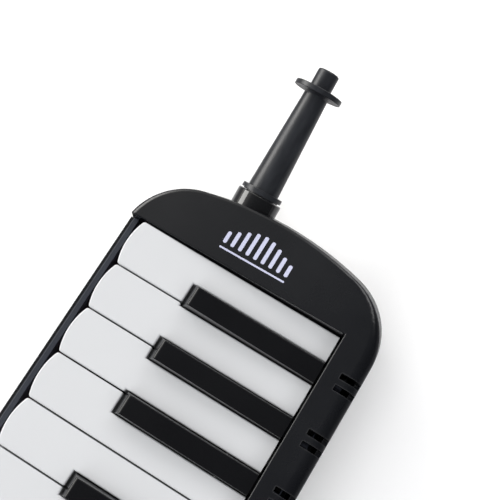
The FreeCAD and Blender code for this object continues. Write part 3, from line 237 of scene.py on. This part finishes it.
CASE_BLACK = (0.0034, 0.0038, 0.0048)
looks = {
    # The case's lighter edges are mostly a painted highlight along the lip of the key opening.
    "case": finish("case_plastic", CASE_BLACK, 0.25, grain=0.10, grain_scale=1400, wear_and_highlight=0.75),
    # The rail's tone, lighter and bluer than the case, is a painted reflection of the pale room on
    # its dark plastic.
    "rail": finish("rail_plastic", (0.020, 0.023, 0.031), 0.36, grain=0.12, grain_scale=1500),
    # The white keys' levers get painted shade behind the keys' rear edge.
    "white": finish("white_key_plastic", (0.50, 0.508, 0.520), 0.24, grain=0.03, mottle=0.008,
                    grain_scale=600, wear_and_highlight=0.3, lever_painted_shade=(0.02, 0.02, 0.021),
                    roughness_spread=0.015),
    "black": finish("black_key_plastic", (0.0030, 0.0031, 0.0036), 0.22, grain=0.06, mottle=0.1,
                    grain_scale=1200, wear_and_highlight=0.25, specular=0.32),
    "mouth": finish("mouthpiece_plastic", (0.0130, 0.0142, 0.0172), 0.36, grain=0.07,
                    grain_scale=90, wear_and_highlight=0.4, mottle=0.3, streaks=(1.0, 14.0, 14.0)),
    "collar": finish("collar_plastic", (0.0055, 0.0055, 0.0055), 0.12, grain=0.03, coat=0.6,
                     roughness_spread=0.04),
    "button": finish("button_plastic", (0.02, 0.02, 0.022), 0.4, grain=0.12),
    "chamber": finish("chamber_plastic", (0.012, 0.012, 0.013), 0.5, grain=0.2, grain_scale=700),
    "brass": finish("reed_plate_brass", (0.70, 0.52, 0.24), 0.32, grain=0.12, metallic=1.0,
                    streaks=(1.0, 14.0, 1.0), grain_scale=300),
    "bronze": finish("reed_bronze", (0.66, 0.42, 0.22), 0.28, grain=0.1, metallic=1.0,
                     streaks=(14.0, 1.0, 1.0), grain_scale=300),
    "steel": finish("screw_steel", (0.55, 0.55, 0.56), 0.30, grain=0.12, metallic=1.0, wear_and_highlight=0.4),
    "spring": finish("spring_steel", (0.16, 0.17, 0.20), 0.24, grain=0.06, metallic=1.0),
    "gasket": finish("gasket_rubber", (0.03, 0.03, 0.03), 0.75, grain=0.3, specular=0.3),
    "foot": finish("foot_rubber", (0.016, 0.016, 0.016), 0.82, grain=0.45, grain_scale=1800,
                   specular=0.3, mottle=0.3),
    "felt": finish("stop_felt", (0.035, 0.008, 0.010), 0.95, grain=0.9, grain_scale=1600, sheen=0.6,
                   mottle=0.35, specular=0.1),
}
by_node = {
    "upper_case": "case", "lower_case": "case", "front_rail": "rail", "key_stop_felt": "felt",
    "air_chamber": "chamber", "chamber_cover": "chamber", "inlet_duct": "chamber",
    "chamber_gasket": "gasket", "drain_seal": "gasket", "reed_plate_bass": "brass",
    "reed_plate_treble": "brass", "reed_rivets": "brass", "reeds_bass": "bronze",
    "reeds_treble": "bronze", "small_screws": "steel", "cover_screws": "steel",
    "case_screws": "steel", "key_axle": "steel", "strap_plates": "steel", "axle_clips": "spring",
    "key_springs": "spring", "drain_spring": "spring", "inlet_collar": "collar",
    "mouthpiece": "mouth", "drain_button": "button", "feet": "foot",
}
for name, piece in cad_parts.items():
    look = by_node.get(name)
    if name.startswith("key_") and look is None:
        look = "black" if "sharp" in name else "white"
    if look:
        for slot in piece.material_slots:
            slot.material = looks[look]

# ---------------------------------------------------------------- hand strap


def add_object(name, mesh, material):
    """An object that rides on the case."""
    made = bpy.data.objects.new(name, mesh)
    scene.collection.objects.link(made)
    made.data.materials.append(material)
    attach(made, "case")
    return made


def grid_mesh(name, columns, rows, at):
    """A closed band: a loop of points at(u, v) for each column, with its ends capped."""
    shape = bmesh.new()
    loops = [[shape.verts.new(at(i / (columns - 1), j / rows)) for j in range(rows)]
             for i in range(columns)]
    for one, two in zip(loops, loops[1:]):
        for j in range(rows):
            k = (j + 1) % rows
            shape.faces.new((one[j], one[k], two[k], two[j]))
    shape.faces.new(loops[0])
    shape.faces.new(reversed(loops[-1]))
    bmesh.ops.recalc_face_normals(shape, faces=shape.faces)
    mesh = bpy.data.meshes.new(name)
    shape.to_mesh(mesh)
    shape.free()
    for face in mesh.polygons:
        face.use_smooth = True
    return mesh


strap_low, strap_high = (Vector(corner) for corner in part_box("hand_strap"))
strap_middle = (strap_low + strap_high) / 2
strap_half = (strap_high - strap_low) / 2
STRAP_DIP = 0.25 * MM
STITCH_PITCH, STITCH_LENGTH, THREAD_RADIUS = 3.6 * MM, 2.6 * MM, 0.22 * MM
STITCH_EDGE = 2.8 * MM   # from the strap's edge to a row of stitches
STITCH_END = 17 * MM     # from the strap's end to the first stitch


def strap_point(u, v):
    """The strap's surface: a flat band with round edges that dips a little between its plates."""
    angle = 2 * math.pi * v
    across, up = math.cos(angle), math.sin(angle)
    across = math.copysign(abs(across) ** 0.28, across)
    up = math.copysign(abs(up) ** 0.55, up)
    along = 2 * u - 1
    held = abs(along) ** 6
    crown = 1 - 0.22 * abs(across) ** 4
    sag = -STRAP_DIP * (1 - along ** 2) + 0.08 * MM * math.sin(19 * along)
    x = strap_middle.x + along * strap_half.x
    y = strap_middle.y + across * (strap_half.y - 0.3 * MM * (1 - held))
    z = strap_middle.z + up * strap_half.z * 0.86 * crown + sag
    return (x, y, z)


webbing = finish("strap_webbing", (0.016, 0.016, 0.018), 0.62, grain=0.9, grain_scale=900,
                 mottle=0.3, sheen=0.25, roughness_spread=0.12, weave=1.1 * MM)
strap = add_object("hand_strap_band", grid_mesh("hand_strap_band", 90, 48, strap_point), webbing)
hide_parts("hand_strap")


def stitches():
    """Two rows of thread along the strap's edges, on its lower face."""
    shape = bmesh.new()
    under = strap_low.z

    def stitch(centre):
        loops = []
        for i in range(7):
            t = i / 6 * 2 - 1
            bow = 1 - t * t
            ring = []
            for j in range(8):
                angle = math.pi / 4 * j
                radius = THREAD_RADIUS * (0.55 + 0.45 * bow)
                offset = Vector((t * STITCH_LENGTH / 2, math.cos(angle) * radius,
                                 math.sin(angle) * radius - 0.12 * MM * bow))
                ring.append(shape.verts.new(centre + offset))
            loops.append(ring)
        for one, two in zip(loops, loops[1:]):
            for j in range(8):
                shape.faces.new((one[j], one[(j + 1) % 8], two[(j + 1) % 8], two[j]))
        shape.faces.new(loops[0])
        shape.faces.new(reversed(loops[-1]))

    steps = int((strap_half.x - STITCH_END) * 2 / STITCH_PITCH)
    for side in (-1, 1):
        y = strap_middle.y + side * (strap_half.y - STITCH_EDGE)
        for i in range(steps):
            along = (i + 0.5) / steps * 2 - 1
            x = strap_middle.x + along * (strap_half.x - STITCH_END)
            dip = STRAP_DIP * (1 - along ** 2)
            stitch(Vector((x, y, under + THREAD_RADIUS - dip)))
    bmesh.ops.recalc_face_normals(shape, faces=shape.faces)
    mesh = bpy.data.meshes.new("hand_strap_stitches")
    shape.to_mesh(mesh)
    shape.free()
    for face in mesh.polygons:
        face.use_smooth = True
    return mesh


thread = finish("strap_thread", (0.06, 0.06, 0.065), 0.7, grain=0.8, grain_scale=2600, sheen=0.3)
seams = add_object("hand_strap_stitches", stitches(), thread)

# ---------------------------------------------------------------- printed ornament


BARS, BAR_PITCH, BAR_WIDTH, FIRST_BAR = 9, 3.3, 1.5, 31.0
BAR_FOOT, RULE_NEAR, RULE_FAR = -7.8, -5.5, -6.2
PRINT_HEIGHT = 0.03      # of the print above the crown


def ornament():
    """A row of slim bars, graded like pipes, over a thin rule: flat print on the end cap."""
    shape = bmesh.new()

    def patch(x0, x1, y0, y1, round_off):
        ring = []
        for corner, (cx, cy) in enumerate(((x1, y1), (x0, y1), (x0, y0), (x1, y0))):
            side_x = -1 if corner in (0, 3) else 1
            side_y = -1 if corner in (0, 1) else 1
            for i in range(5):
                angle = math.pi / 2 * (corner + i / 4)
                x = cx + side_x * round_off + round_off * math.cos(angle)
                y = cy + side_y * round_off + round_off * math.sin(angle)
                ring.append(shape.verts.new(place(x, y, CROWN_SLOPE * y + PRINT_HEIGHT)))
        shape.faces.new(ring)

    for bar in range(BARS):
        y = FIRST_BAR + bar * BAR_PITCH
        height = 4.5 + 5.5 * math.sin(math.pi * (bar + 0.5) / BARS) ** 1.5
        patch(BAR_FOOT - height, BAR_FOOT, y - BAR_WIDTH / 2, y + BAR_WIDTH / 2, 0.6)
    patch(RULE_FAR, RULE_NEAR, FIRST_BAR - 0.8, FIRST_BAR + 27.2, 0.3)
    mesh = bpy.data.meshes.new("cap_ornament")
    shape.to_mesh(mesh)
    shape.free()
    return mesh


print_ink = finish("cap_print", (0.42, 0.43, 0.56), 0.45, grain=0.2, grain_scale=1500, mottle=0.06)
mark = add_object("cap_ornament", ornament(), print_ink)

# ---------------------------------------------------------------- floor

floor_mesh = bpy.data.meshes.new("floor")
FLOOR_REACH = 2.2
corners = [(x * FLOOR_REACH, y * FLOOR_REACH, 0) for x, y in ((-1, -1), (1, -1), (1, 1), (-1, 1))]
floor_mesh.from_pydata(corners, [], [(0, 1, 2, 3)])
floor = bpy.data.objects.new("floor", floor_mesh)
scene.collection.objects.link(floor)
paper = finish("floor_paper", (0.93, 0.93, 0.93), 0.9, grain=0.05, mottle=0.01, grain_scale=300,
               specular=0.1)
floor.data.materials.append(paper)
# In the gloss of the black plastic, the floor falls dark beyond a hand's width to each side.
paper_tree = paper.node_tree
ray = node(paper_tree, "ShaderNodeLightPath")
spot = node(paper_tree, "ShaderNodeTexCoord")
aside = node(paper_tree, "ShaderNodeSeparateXYZ")
far = node(paper_tree, "ShaderNodeMath", operation="ABSOLUTE")
flagged = node(paper_tree, "ShaderNodeMath", operation="MULTIPLY")
flag = node(paper_tree, "ShaderNodeMix", data_type="RGBA")
flag.inputs["B"].default_value = (0.14, 0.14, 0.15, 1)
paper_tree.links.new(spot.outputs["Object"], aside.inputs[0])
paper_tree.links.new(aside.outputs["Y"], far.inputs[0])
away = ramp(paper_tree, far.outputs[0], [(0.055, 0.5), (0.11, 1.0)])
paper_tree.links.new(away, flagged.inputs[0])
paper_tree.links.new(ray.outputs["Is Glossy Ray"], flagged.inputs[1])
paper_colour = paper_tree.nodes["Principled BSDF"].inputs["Base Color"]
paper_tree.links.new(flagged.outputs[0], flag.inputs["Factor"])
paper_tree.links.new(paper_colour.links[0].from_socket, flag.inputs["A"])
paper_tree.links.new(flag.outputs["Result"], paper_colour)
